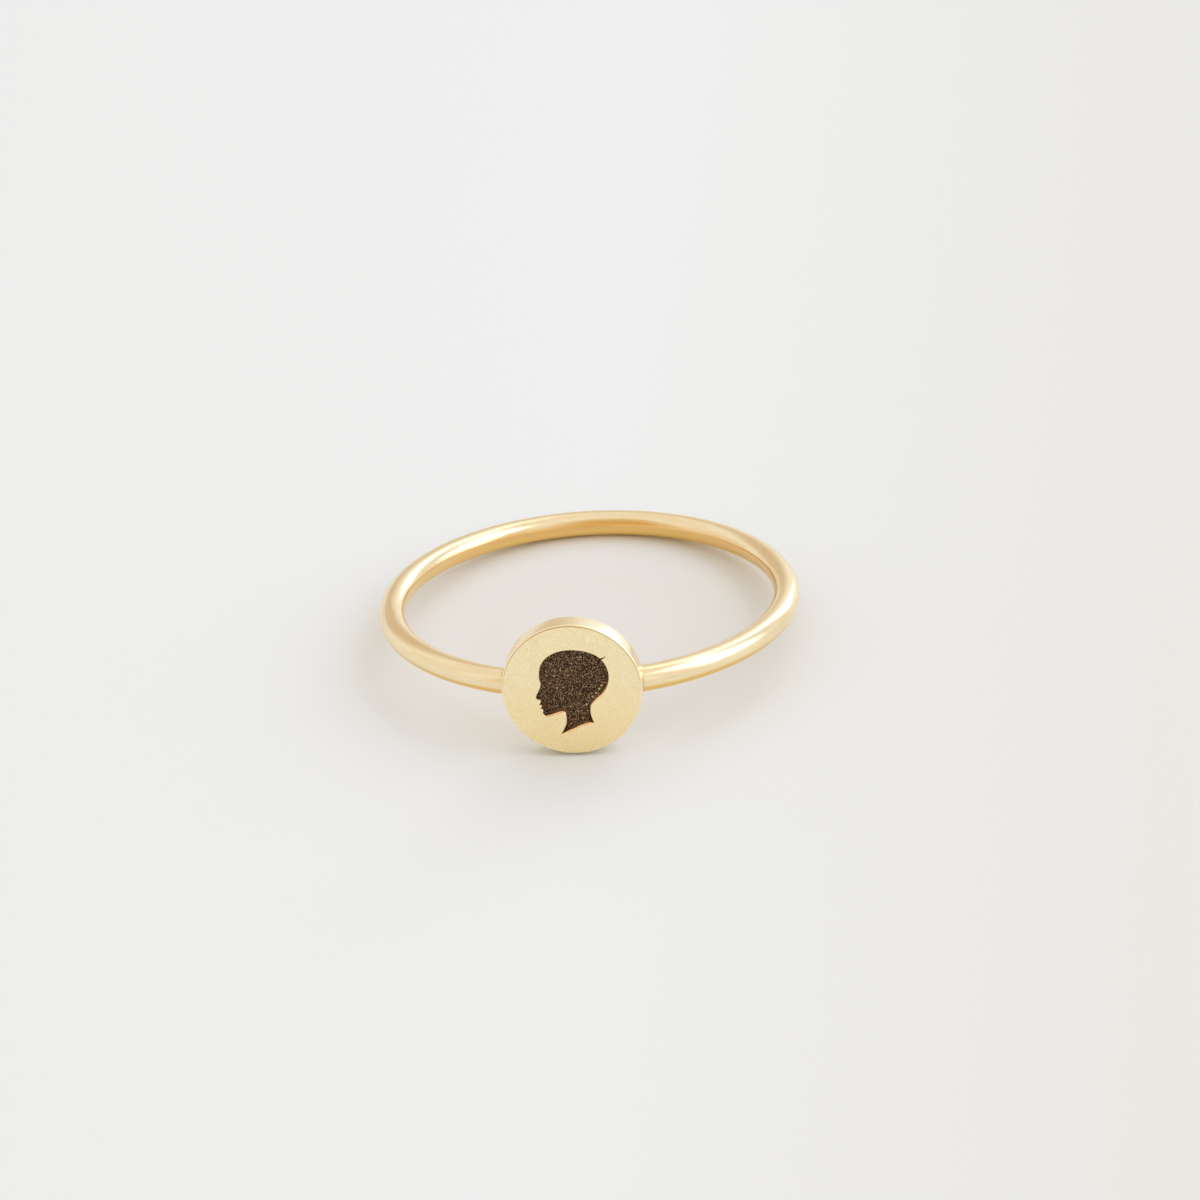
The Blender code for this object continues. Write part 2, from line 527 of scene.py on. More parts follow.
@dataclass(frozen=True)
class WireGold:
    """Yellow gold wire, buffed along its length so that fine streaks run along it.

    A span is the part of a noise's range over which its effect goes from none to all.
    """

    colour: Colour = (0.980, 0.830, 0.545, 1)
    deep_colour: Colour = (0.890, 0.665, 0.330, 1)
    seam_colour: Colour = (0.800, 0.560, 0.270, 1)
    # Painted reflections and shade: deeper gold on the finger's side, more orange low on it, and
    # orange on the underside
    painted_inner_colour: Colour = (0.850, 0.540, 0.190, 1)
    painted_low_colour: Colour = (1.000, 0.700, 0.240, 1)
    painted_under_colour: Colour = (0.920, 0.600, 0.170, 1)
    smooth: float = 0.13
    streaked: float = 0.28
    seam_roughness: float = 0.36
    streak_pitch: float = 0.055 * MM
    streak_length: float = 1.3 * MM
    streak_depth: float = 0.55 * UM
    streak_span: Span = (0.32, 0.68)
    band_scale: Span = (0.5, 0.3)
    band_span: Span = (0.30, 0.70)
    band_share: float = 0.5
    worn_share: float = 0.40
    patch_pitch: float = 1.2 * MM
    patch_span: Span = (0.35, 0.75)
    patch_share: float = 0.25
    dent_pitch: float = 0.5 * MM
    dent_depth: float = 1.0 * UM

    def material(self) -> bpy.types.Material:
        """Make the finish.

        Returns:
            A material that reads the UV map, in metres along and round the wire, and the marks
            seam, inner, low and under.
        """
        nodes = Nodes("buffed_gold_wire")
        along_scale, round_scale = self.band_scale
        fine = (1 / self.streak_length, 1 / self.streak_pitch, 1)
        broad = (along_scale / self.streak_length, round_scale / self.streak_pitch, 1)
        along = nodes.place("UV")
        solid = nodes.place("Object")
        streaks = nodes.clip(nodes.noise(nodes.stretch(along, fine)), *self.streak_span)
        bands = nodes.clip(nodes.noise(nodes.stretch(along, broad)), *self.band_span)
        patches = nodes.clip(nodes.noise(solid, 1 / self.patch_pitch), *self.patch_span)
        seam = nodes.mark("seam")
        worn = nodes.sum("MULTIPLY", nodes.sum("MULTIPLY", streaks, bands), self.worn_share)
        deep = nodes.sum("MULTIPLY_ADD", patches, self.patch_share, worn)
        shade = nodes.tint(deep, self.colour, self.deep_colour)
        # Painted reflections and shade: the marks inner, low and under deepen the gold on the
        # finger's side and underside
        inner = nodes.tint(nodes.mark("low"), self.painted_inner_colour, self.painted_low_colour)
        shade = nodes.tint(nodes.mark("inner"), shade, inner)
        shade = nodes.tint(nodes.mark("under"), shade, self.painted_under_colour)
        buffed = nodes.blend(self.band_share, streaks, bands)
        buffed = nodes.blend(buffed, self.smooth, self.streaked)
        wavy = nodes.bump(nodes.noise(solid, 1 / self.dent_pitch), self.dent_depth)
        dressing = {
            "Base Color": nodes.tint(seam, shade, self.seam_colour),
            "Metallic": 1.0,
            "Roughness": nodes.blend(seam, buffed, self.seam_roughness),
            "Normal": nodes.bump(streaks, self.streak_depth, wavy),
        }
        return nodes.dress(dressing)


@dataclass(frozen=True)
class DiscGold:
    """Yellow gold plate: bright on its rim, satin on its flats, blackened where a mark says."""

    colour: Colour = (1.000, 0.940, 0.640, 1)
    mottle_colour: Colour = (1.000, 0.770, 0.440, 1)
    rim_colour: Colour = (1.000, 0.880, 0.605, 1)
    # Painted reflection: deeper gold on the satin face towards the floor, by height
    painted_low_colour: Colour = (1.000, 0.790, 0.420, 1)
    painted_low_heights: Span = (4.0 * MM, 0.5 * MM)
    painted_low_share: float = 0.7
    # Orange of the mark deep: painted shade on the head's walls, a painted highlight on their
    # upward edges, and a painted dark line on the face's edge
    deep_colour: Colour = (1.000, 0.600, 0.270, 1)
    wall_black: Colour = (0.050, 0.022, 0.018, 1)
    black: Colour = (0.008, 0.004, 0.003, 1)
    brown: Colour = (0.330, 0.178, 0.078, 1)
    speck: Colour = (0.850, 0.640, 0.400, 1)
    bright_speck: Colour = (1.000, 0.760, 0.460, 1)
    black_gloss: float = 0.2
    bright_roughness: float = 0.22
    satin_roughness: float = 0.25
    mottle_roughness: float = 0.06
    black_roughness: float = 0.50
    black_metallic: float = 0.5
    satin_pitch: float = 0.08 * MM
    satin_depth: float = 0.5 * UM
    satin_span: Span = (0.3, 0.7)
    cloud_pitch: float = 0.5 * MM
    cloud_detail: float = 4.0
    cloud_share: float = 0.3
    grain_pitch: float = 0.048 * MM
    grain_depth: float = 12.0 * UM
    grain_span: Span = (0.36, 0.66)
    grain_power: float = 3.0
    speck_pitch: float = 0.042 * MM
    speck_detail: float = 1.0
    speck_span: Span = (0.63, 0.66)
    speck_share: float = 0.9
    floor_span: Span = (0.96, 1.0)

    def material(self) -> bpy.types.Material:
        """Make the finish.

        Returns:
            A material that reads the marks satin, black, deep and glint, and Object coordinates.
        """
        nodes = Nodes("satin_gold_disc")
        solid = nodes.place("Object")
        satin = nodes.mark("satin")
        black = nodes.mark("black")
        rubbing = nodes.clip(nodes.noise(solid, 1 / self.satin_pitch), *self.satin_span)
        cloud = nodes.noise(solid, 1 / self.cloud_pitch, self.cloud_detail)
        cloud = nodes.clip(cloud, *self.satin_span)
        grain = nodes.clip(nodes.noise(solid, 1 / self.grain_pitch), *self.grain_span)
        sparks = nodes.noise(solid, 1 / self.speck_pitch, self.speck_detail)
        sparks = nodes.clip(sparks, *self.speck_span)
        mottle = nodes.sum("MULTIPLY", nodes.blend(self.cloud_share, rubbing, cloud), satin)
        plain = nodes.tint(satin, self.rim_colour, self.colour)
        gold = nodes.tint(mottle, plain, self.mottle_colour)
        # Painted reflection: the satin face's gold turns deeper towards the floor
        near_floor_reflection = nodes.clip(nodes.part(solid, "Z"), *self.painted_low_heights)
        near_floor_reflection = nodes.sum("MULTIPLY", nodes.sum("MULTIPLY", near_floor_reflection, satin), self.painted_low_share)
        gold = nodes.tint(near_floor_reflection, gold, self.painted_low_colour)
        # Painted light from the mark deep: a dark line on the face's top edge, shade down the
        # head's walls, highlight on their upward edges
        gold = nodes.tint(nodes.mark("deep"), gold, self.deep_colour)
        floor = nodes.clip(black, *self.floor_span)
        dark = nodes.tint(nodes.sum("POWER", grain, self.grain_power), self.black, self.brown)
        dark = nodes.tint(nodes.sum("MULTIPLY", sparks, self.speck_share), dark, self.speck)
        dark = nodes.tint(nodes.mark("glint"), dark, self.bright_speck)
        dark = nodes.tint(floor, self.wall_black, dark)
        matt = nodes.blend(satin, self.bright_roughness, self.satin_roughness)
        matt = nodes.sum("MULTIPLY_ADD", mottle, self.mottle_roughness, matt)
        rubbed_and_lit = nodes.bump(nodes.sum("MULTIPLY", rubbing, satin), self.satin_depth)
        grained = nodes.sum("MULTIPLY", grain, floor)
        dressing = {
            "Base Color": nodes.tint(black, gold, dark),
            "Metallic": nodes.blend(black, 1.0, self.black_metallic),
            "Specular IOR Level": self.black_gloss,
            "Roughness": nodes.blend(black, matt, self.black_roughness),
            "Normal": nodes.bump(grained, self.grain_depth, rubbed_and_lit),
        }
        return nodes.dress(dressing)


@dataclass
class WireBand:
    """The round wire, carried round the finger as one closed tube and filed flat in the disc."""

    sizes: RingSizes
    pose: RestPose
    finish: WireGold = WireGold()
    seam_round: float = 0.08 * MM
    seam_end: float = 0.2 * MM
    seam_reach: float = 0.07 * MM
    seam_spread: float = 2.0
    steps_behind: int = 140
    steps_open: int = 620
    even_share: float = 0.5
    sides: int = 96
    ripple: float = 0.9 * UM
    ripple_terms: int = 28
    waves_along: tuple[int, int] = (5, 70)
    waves_round: tuple[int, int] = (0, 4)
    seed: int = 7
    # Where the painted reflections and shade lie on the wire
    inner_growth: float = 0.77
    inner_start: float = 0.3
    inner_upper: Span = (2.36, 3.11)
    inner_lower: Span = (4.9, 4.3)
    low_span: Span = (0.0, 0.5)
    under_span: Span = (0.15, 0.45)

    @property
    def rim(self) -> float:
        """Angle along the wire from the disc's middle to its rim."""
        return math.asin(self.sizes.disc_radius / self.sizes.ring_radius)

    def stations(self) -> Array:
        """Angles along the wire from the disc's middle.

        Returns:
            Even steps behind the disc, and steps along the open wire that crowd towards
            the rim at both ends, by half a turn of a cosine mixed with an even share.
        """
        behind = np.linspace(-self.rim, self.rim, self.steps_behind, endpoint=False)
        even = np.linspace(0, 1, self.steps_open, endpoint=False)
        crowded = (1 - np.cos(math.pi * even)) / 2
        share = self.even_share * even + (1 - self.even_share) * crowded
        return np.concatenate((behind, self.rim + share * 2 * (math.pi - self.rim)))

    def ripples(self, station: Array, side: Array) -> Array:
        """Small unevenness of a wire drawn, bent and buffed by hand.

        It is a sum of cosines along and round the wire, of seeded whole numbers of waves.

        Args:
            station: angles along the wire from the disc's middle.
            side: angles round the wire.

        Returns:
            What the ripples add to the wire's radius, a row for each station.
        """
        draw = np.random.default_rng(self.seed)
        along = draw.integers(*self.waves_along, self.ripple_terms)
        across = draw.integers(*self.waves_round, self.ripple_terms)
        start = draw.uniform(0, 2 * math.pi, (2, self.ripple_terms))
        waves = np.cos(station[:, None, None] * along + start[0])
        turns = np.cos(side[None, :, None] * across + start[1])
        return self.ripple * (waves * turns).sum(axis=-1) / math.sqrt(self.ripple_terms)

    def painted_reflections(self, station: Array, side: Array) -> dict[str, Array]:
        """Where deeper gold is painted on the wire, as painted reflections and shade.

        Args:
            station: angles along the wire from the disc's middle.
            side: angles round the wire, nought outwards and a quarter turn upwards.

        Returns:
            The marks: inner on the finger's side, which grows towards the back, low for how
            far down that side, and under beneath the rest.
        """
        towards_back = smooth_step(self.inner_growth * (self.inner_start - np.cos(station)))
        inner = span_step(side, *self.inner_upper) * span_step(side, *self.inner_lower)
        inner = inner * towards_back[:, None]
        low = span_step(-np.sin(side), *self.low_span) * np.ones_like(inner)
        under = span_step(-np.sin(side), *self.under_span) * (1 - inner)
        return {"inner": inner, "low": low, "under": under}

    def surface(self) -> tuple[Array, Array, dict[str, Array]]:
        """The tube as a function of the angle along the wire and the angle round it.

        The radius is the wire's plus the ripples. Behind the disc a small hollow quarter
        round of solder spreads the wire onto the disc's back. In front the tube is cut
        at the filed flat.

        Returns:
            The points, the UV place of each in metres, and the marks of each.
        """
        size = self.sizes
        station = self.stations()
        side = even_turn(self.sides)
        radius = size.wire_radius + self.ripples(station, side)
        reach = size.ring_radius + radius * np.cos(side)
        x = reach * np.sin(station)[:, None]
        y = -reach * np.cos(station)[:, None]
        z = radius * np.sin(side)
        proud = (y + size.disc_back) / self.seam_round
        within = smooth_step((size.disc_radius - np.abs(x)) / self.seam_end) * (y < 0)
        z = z + np.sign(z) * self.seam_round * quarter_round(proud) * within
        y = np.maximum(y, size.filed_behind_face - size.disc_face)
        from_rim = (np.abs(x) - size.disc_radius) / self.seam_reach
        before_back = smooth_step((-y - size.disc_back) / self.seam_reach)
        beside = smooth_step(1 - np.abs(from_rim)) * before_back
        seam = np.maximum(beside, within * quarter_round(proud / self.seam_spread))
        along = np.broadcast_to(station[:, None] * size.ring_radius, x.shape)
        around = np.broadcast_to(side * size.wire_radius, x.shape)
        marks = {"seam": seam, **self.painted_reflections(station, side)}
        return np.stack((x, y, z), axis=-1), np.stack((along, around), axis=-1), marks

    def build(self) -> bpy.types.Object:
        """Make the band's mesh, dress it, and set it on its body.

        Returns:
            The finished band.
        """
        points, places, marks = self.surface()
        patch = Patch()
        patch.add_strip(patch.add_points(points, **marks), close_rows=True)
        mesh = patch.mesh("wire_band", self.pose)
        layer = mesh.uv_layers.new(name="along_wire")
        corner = np.empty(len(mesh.loops), np.int32)
        mesh.loops.foreach_get("vertex_index", corner)
        layer.uv.foreach_set("vector", places.reshape(-1, 2)[corner].ravel())
        mesh.materials.append(self.finish.material())
        return stand_for_ring(mesh)


@dataclass
class SunkHead:
    """The head that is cut into the disc's face, as loops from the face down to the floor."""

    height: float = 3.33 * MM
    depth: float = 0.25 * MM
    ear_line_right: float = 0.08 * MM
    chin_below_middle: float = 1.34 * MM
    lip: float = 0.045 * MM
    slope: float = 0.045 * MM
    lower_lip: float = 1.2
    lower_span: Span = (0.42, 0.36)
    upward_span: Span = (0.0, 0.6)
    border: float = 0.025 * MM
    least_bend: float = 1.0
    steps: int = 14
    lip_steps: int = 4
    grain_pitch: float = 0.034 * MM
    grain_shake: float = 0.25
    grain_height: float = 7.0 * UM
    edge_parts: int = 8
    glint_reach: float = 0.04 * MM
    seed: int = 11

    def outline(self) -> Array:
        """The head's outline on the disc's face.

        Between two points of the table runs a cubic curve whose handles are a third of
        the way long. They point along the line between the neighbours, or at a
        corner straight at the other point.

        Returns:
            Rows of across and up, round the outline.
        """
        shares = np.array([(ahead, above) for ahead, above, _ in HEAD_OUTLINE])
        corner = np.array([kind.value for _, _, kind in HEAD_OUTLINE])[:, None]
        here = np.stack(
            (
                self.ear_line_right - shares[:, 0] * self.height,
                shares[:, 1] * self.height - self.chin_below_middle,
            ),
            axis=1,
        )
        then = np.roll(here, -1, axis=0)
        straight = then - here
        third = np.linalg.norm(straight, axis=1, keepdims=True) / 3
        straight = straight / (3 * third)
        bent = then - np.roll(here, 1, axis=0)
        bent = bent / np.linalg.norm(bent, axis=1, keepdims=True)
        leaving = np.where(corner, straight, bent)
        arriving = np.where(np.roll(corner, -1, axis=0), straight, np.roll(bent, -1, axis=0))
        share = (np.arange(self.steps) / self.steps)[None, :, None]
        rest = 1 - share
        curve = (
            rest**3 * here[:, None]
            + 3 * rest**2 * share * (here + leaving * third)[:, None]
            + 3 * rest * share**2 * (then - arriving * third)[:, None]
            + share**3 * then[:, None]
        )
        return curve.reshape(-1, 2)

    def inward(self, outline: Array) -> Array:
        """Unit directions into the head, each along the mean of its two sides' normals.

        Args:
            outline: rows of two coordinates, round the outline.

        Returns:
            A row of two coordinates for each point.
        """
        side = np.roll(outline, -1, axis=0) - outline
        side = side / np.linalg.norm(side, axis=1, keepdims=True)
        mean = side + np.roll(side, 1, axis=0)
        mean = mean / np.linalg.norm(mean, axis=1, keepdims=True)
        turned = np.stack((-mean[:, 1], mean[:, 0]), axis=1)
        after = np.roll(outline, -1, axis=0)
        area = (outline[:, 0] * after[:, 1] - outline[:, 1] * after[:, 0]).sum()
        return turned * math.copysign(1, area)

    def facing_up(self, outline: Array) -> Array:
        """How much each point is on an upward edge, such as the jaw's or the neck's.

        Args:
            outline: rows of two coordinates, round the outline.

        Returns:
            A share for each point, from the upward part of its direction into the head. It
            fades out ahead of the jaw, where the details are small.
        """
        up = span_step(self.inward(outline)[:, 1], *self.upward_span)
        ahead = (self.ear_line_right - outline[:, 0]) / self.height
        return up * span_step(ahead, *self.lower_span)

    def inset(self, outline: Array, distance: float | Array) -> Array:
        """The outline moved inwards, each point along the mean of its two sides' normals.

        A point moves no more than half the radius of the largest circle that touches the
        outline there and crosses it nowhere, so that narrow places and sharp corners stay
        open. That radius is the least, over all other points, of their distance squared over
        twice how far they lie ahead. A circle over a metre across counts as a straight line.

        Args:
            outline: rows of two coordinates, round the outline.
            distance: how far each point moves inwards, or outwards if it is below nought.

        Returns:
            The moved outline.
        """
        ahead = self.inward(outline) * np.sign(np.atleast_1d(distance))[:, None]
        apart = outline[None] - outline[:, None]
        reach = (apart * ahead[:, None]).sum(axis=-1)
        square = (apart**2).sum(axis=-1)
        held = reach > square * self.least_bend
        room = np.where(held, square / np.where(held, 2 * reach, 1), np.inf).min(axis=1)
        return outline + np.minimum(np.abs(distance), room / 2)[:, None] * ahead

    def glint(self, flat: Array) -> Array:
        """How much a small bright speck shows at each point: one over e to the squared distance.

        Args:
            flat: rows of across and up on the disc.

        Returns:
            A share for each point, from the nearest of the specks.
        """
        specks = np.array(HAIR_SPECKS) * MM
        apart = np.linalg.norm(flat[:, None] - specks, axis=-1).min(axis=1)
        return np.exp(-((apart / self.glint_reach) ** 2))

    def floor_points(self, edge: Array) -> Array:
        """Points of an even three-way grid inside the floor's edge, shaken a little.

        Its rows are the root of three quarters of a step apart, and every other one is
        moved along by half a step.

        Args:
            edge: rows of two coordinates, round the floor.

        Returns:
            Rows of two coordinates, none closer to the edge than half a step.
        """
        draw = np.random.default_rng(self.seed)
        low = edge.min(axis=0)
        high = edge.max(axis=0)
        across = np.arange(low[0], high[0], self.grain_pitch)
        up = np.arange(low[1], high[1], self.grain_pitch * math.sqrt(0.75))
        x, z = np.meshgrid(across, up)
        x = x + (np.arange(len(up)) % 2)[:, None] * self.grain_pitch / 2
        grid = np.stack((x.ravel(), z.ravel()), axis=1)
        shake = draw.uniform(-self.grain_shake, self.grain_shake, grid.shape)
        grid = grid + shake * self.grain_pitch
        grid = grid[inside_outline(grid, edge)]
        nearest = np.full(len(grid), np.inf)
        for part in np.array_split(edge, self.edge_parts):
            apart = np.linalg.norm(grid[:, None] - part, axis=-1).min(axis=1)
            nearest = np.minimum(nearest, apart)
        return grid[nearest > self.grain_pitch / 2]


@dataclass
class DiscPlate:
    """The disc: a turned rim and edges, a flat back, and a face with the head sunk in it."""

    sizes: RingSizes
    pose: RestPose
    head: SunkHead
    finish: DiscGold = DiscGold()
    patch: Patch = field(default_factory=Patch)
    around: int = 360
    edge_steps: int = 10
    satin_steps: int = 2
    # A painted dark line of reddish-brown along the top of the face's rounded edge
    lined_steps: int = 4
    lined_deep: float = 0.8
    lined_black: float = 0.5
    lined_growth: float = 1.3
    lined_start: float = 0.2
    face_round: float = 0.10 * MM
    border: float = 0.05 * MM
    wall_steps: tuple[float, ...] = (0.15, 0.33, 0.51, 0.93, 1.0)
    wall_black: tuple[float, ...] = (0.1, 0.5, 0.93, 0.96, 1.0)
    # Painted highlight: how much of the blackening each wall step loses where the edge faces up
    wall_painted_light: tuple[float, ...] = (0.1, 0.4, 0.5, 0.2, 0.0)
    # Painted shade: the orange tint from the lip down to the floor; more on upward edges, as a
    # painted highlight
    wall_painted_shade: Span = (0.35, 1.0)
    upward_painted_light: float = 0.15
    most_deep: float = 0.85

    def rim_profile(self) -> tuple[Array, Array, Array]:
        """The turned profile from the face's border, over both rounded edges, to the back's.

        Returns:
            Radius, depth behind the face, and share of satin at each step.
        """
        size = self.sizes
        turn = np.linspace(0, math.pi / 2, self.edge_steps)
        out = np.sin(turn) - 1
        down = 1 - np.cos(turn)
        front = size.disc_radius + self.face_round * out
        behind = size.disc_radius + size.edge_round * out[::-1]
        flat = size.disc_radius - self.face_round - self.border
        radius = np.concatenate(([flat], front, behind, [flat]))
        sunk = size.thickness - size.edge_round * down[::-1]
        depth = np.concatenate(([0], self.face_round * down, sunk, [size.thickness]))
        satin = np.full(len(radius), Polish.BRIGHT.value)
        satin[: self.satin_steps] = Polish.SATIN.value
        satin[-self.satin_steps :] = Polish.BRUSHED.value
        return radius, depth, satin

    def on_face(self, flat: Array, depth: float | Array) -> Array:
        """Points at across and up on the disc, a depth behind its face."""
        y = np.broadcast_to(depth - self.sizes.disc_face, flat.shape[:-1])
        return np.stack((flat[..., 0], y, flat[..., 1]), axis=-1)

    def add_rim(self) -> tuple[Array, Array]:
        """Turn the rim's profile round the disc.

        Returns:
            The numbers of all the rim's points, a row for each step, and the places of the
            face border's.
        """
        radius, depth, satin = self.rim_profile()
        turn = even_turn(self.around)
        circle = np.stack((np.cos(turn), np.sin(turn)), axis=-1)
        flat = radius[:, None, None] * circle
        points = self.on_face(flat, depth[:, None])
        # Painted dark reflection: a reddish-brown line along the top of the face's rounded edge,
        # fading down its sides
        up = smooth_step(self.lined_growth * (np.sin(turn) + self.lined_start))
        painted_line = np.zeros((len(radius), 1))
        painted_line[self.satin_steps : self.lined_steps] = self.lined_deep
        deep = painted_line * up
        black = self.lined_black * deep
        marks = {"satin": satin[:, None], "black": black, "deep": deep, "glint": 0}
        rows = self.patch.add_points(points, **marks)
        self.patch.add_strip(rows)
        return rows, flat[0]

    def add_walls(self) -> tuple[Array, Array, Array]:
        """Carry the lip and the wall of the sunk head along its outline.

        The lip is a quarter round and the wall slopes. Both are wider where the edge faces up. The
        orange tint that deepens down the lip and wall is painted shade; where the edge faces up
        the blackening is thinned and the tint raised, as a painted highlight.

        Returns:
            The numbers of all the points, a row for each step, and the places of the first
            and last rows.
        """
        head = self.head
        outline = head.outline()
        turn = np.linspace(0, math.pi / 2, head.lip_steps + 1)[:, None]
        lip_in = head.lip * np.sin(turn)
        lip_down = head.lip * (1 - np.cos(turn))
        down = np.array(self.wall_steps)[:, None]
        facing_up = head.facing_up(outline)
        wider = 1 + head.lower_lip * facing_up
        lip = head.lip * wider
        border = np.full_like(wider, -head.border)[None]
        moved = np.concatenate((border, lip_in * wider, lip + head.slope * down))
        wall_down = lip + (head.depth - lip) * down
        depth = np.concatenate((0 * border, lip_down * wider, wall_down))
        rows = np.stack([head.inset(outline, distance) for distance in moved])
        counts = (self.satin_steps, len(moved) - self.satin_steps)
        satin = np.repeat((Polish.SATIN.value, Polish.BRIGHT.value), counts)
        deep = np.concatenate((np.zeros(counts[0]), np.linspace(*self.wall_painted_shade, counts[1])))
        # Painted shade deepening down the wall, raised on upward edges as a painted highlight
        deeper = deep[:, None] + self.upward_painted_light * (deep > 0)[:, None] * facing_up
        above = np.zeros(len(moved) - len(down))
        black = np.concatenate((above, self.wall_black))[:, None]
        rubbed_and_lit = np.concatenate((above, self.wall_painted_light))[:, None]
        numbers = self.patch.add_points(
            self.on_face(rows, depth),
            satin=satin[:, None],
            black=black - rubbed_and_lit * facing_up,
            deep=np.minimum(deeper, self.most_deep),
            glint=0,
        )
        self.patch.add_strip(numbers)
        return numbers, rows[0], rows[-1]

    def add_face(self, rim: Array, rim_flat: Array, lip: Array, lip_flat: Array) -> None:
        """Cover the flat between the rim's border and the head's.

        Args:
            rim: the numbers of the rim border's points.
            rim_flat: their places.
            lip: the numbers of the head border's points.
            lip_flat: their places.
        """
        flat = np.concatenate((rim_flat, lip_flat))
        loops = [np.arange(len(rim)), len(rim) + np.arange(len(lip))]
        self.patch.add_flat(np.concatenate((rim, lip)), flat, loops, inside=False)

    def add_floor(self, edge: Array, edge_flat: Array) -> None:
        """Cover the head's floor with grains: each inner point a seeded random height.

        Args:
            edge: the numbers of the points round the floor.
            edge_flat: their places.
        """
        head = self.head
        inner = head.floor_points(edge_flat)
        draw = np.random.default_rng(head.seed + 1)
        depth = head.depth + draw.normal(0, head.grain_height, len(inner))
        points = self.on_face(inner, depth)
        glint = head.glint(inner)
        added = self.patch.add_points(points, satin=0, black=1, deep=1, glint=glint)
        flat = np.concatenate((edge_flat, inner))
        loops = [np.arange(len(edge))]
        self.patch.add_flat(np.concatenate((edge, added)), flat, loops, inside=True)

    def build(self) -> bpy.types.Object:
        """Make the disc's mesh, dress it, and set it on its body.

        Returns:
            The finished disc.
        """
        rim, rim_flat = self.add_rim()
        walls, lip_flat, floor_flat = self.add_walls()
        self.add_face(rim[0], rim_flat, walls[0], lip_flat)
        self.add_floor(walls[-1], floor_flat)
        back = rim[-1]
        middle = self.patch.add_points(
            self.on_face(np.zeros((1, 2)), self.sizes.thickness),
            satin=Polish.BRUSHED.value,
            black=0,
            deep=0,
            glint=0,
        )
        fan = np.stack((back, np.roll(back, -1), np.broadcast_to(middle, back.shape)), axis=1)
        self.patch.triangles.append(fan)
        mesh = self.patch.mesh("disc_plate", self.pose)
        mesh.materials.append(self.finish.material())
        return stand_for_ring(mesh)


def stand_for_ring(mesh: bpy.types.Mesh) -> bpy.types.Object:
    """Show a mesh as a gold piece that stands for the ring's solid.

    Args:
        mesh: the finished mesh, in place.

    Returns:
        Its object, riding on the ring's body.
    """
    piece = show(mesh.name, mesh)
    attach(piece, BODY)
    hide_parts(NODE)
    return piece


@dataclass(frozen=True)
class Softbox:
    """A soft flat light that faces the ring, by its direction in degrees.

    The azimuth is nought in front of the disc and 90 to its right.
    """

    name: str
    azimuth: float
    elevation: float
    distance: float
    width: float
    height: float
    radiance: float
    colour: tuple[float, float, float]

    def build(self) -> None:
        """Hang the light, facing the ring, unseen by the camera."""
        lamp = bpy.data.lights.new(self.name, "AREA")
        lamp.shape = "RECTANGLE"
        lamp.size = self.width
        lamp.size_y = self.height
        lamp.energy = self.radiance * math.pi * self.width * self.height
        lamp.color = self.colour
        hung = show(self.name, lamp)
        turn = Matrix.Rotation(math.radians(self.azimuth), 4, "Z")
        rise = Matrix.Rotation(math.pi / 2 - math.radians(self.elevation), 4, "X")
        hung.matrix_world = turn @ rise @ Matrix.Translation((0, 0, self.distance))
        hung.visible_camera = False


@dataclass(frozen=True)
class DimScreen:
    """A dim screen round the ring, which the gold mirrors and the camera doesn't see."""

    name: str
    azimuths: Span
    elevations: Span
    middle: Colour
    edge: Colour = (0.95, 0.97, 1.00, 1)
    radius: float = 0.6
    steps: tuple[int, int] = (40, 24)
    fade: float = 0.38
    fade_below: float = 0.12

    def build(self) -> None:
        """Hang the screen: part of a ball round the ring, by azimuth and elevation.

        Its colour goes from one at all four edges to another in the middle.
        """
        columns, rows = self.steps
        across = np.linspace(0, 1, columns)
        up = np.linspace(0, 1, rows)
        low, high = np.radians(self.azimuths)
        turn = (low + (high - low) * across)[None]
        foot, top = np.radians(self.elevations)
        rise = (foot + (top - foot) * up)[:, None]
        points = self.radius * direction(turn, rise)
        ends = smooth_step(np.minimum(across, 1 - across) / self.fade)[None]
        ends = ends * smooth_step(up / self.fade_below)[:, None]
        inward = ends * smooth_step((1 - up) / self.fade)[:, None]
        numbers = np.arange(rows * columns).reshape(rows, columns)
        lower, upper = numbers[:-1], numbers[1:]
        corners = (lower[:, :-1], lower[:, 1:], upper[:, 1:], upper[:, :-1])
        quads = np.stack(corners, axis=-1).reshape(-1, 4)
        mesh = bpy.data.meshes.new(self.name)
        mesh.from_pydata(points.reshape(-1, 3).tolist(), [], quads.tolist())
        set_mark(mesh, "inward", inward.ravel())
        nodes = Nodes(self.name)
        dressing = {
            "Base Color": (0, 0, 0, 1),
            "Specular IOR Level": 0.0,
            "Emission Color": nodes.tint(nodes.mark("inward"), self.edge, self.middle),
            "Emission Strength": 1.0,
        }
        mesh.materials.append(nodes.dress(dressing))
        screen = show(self.name, mesh)
        screen.visible_camera = False


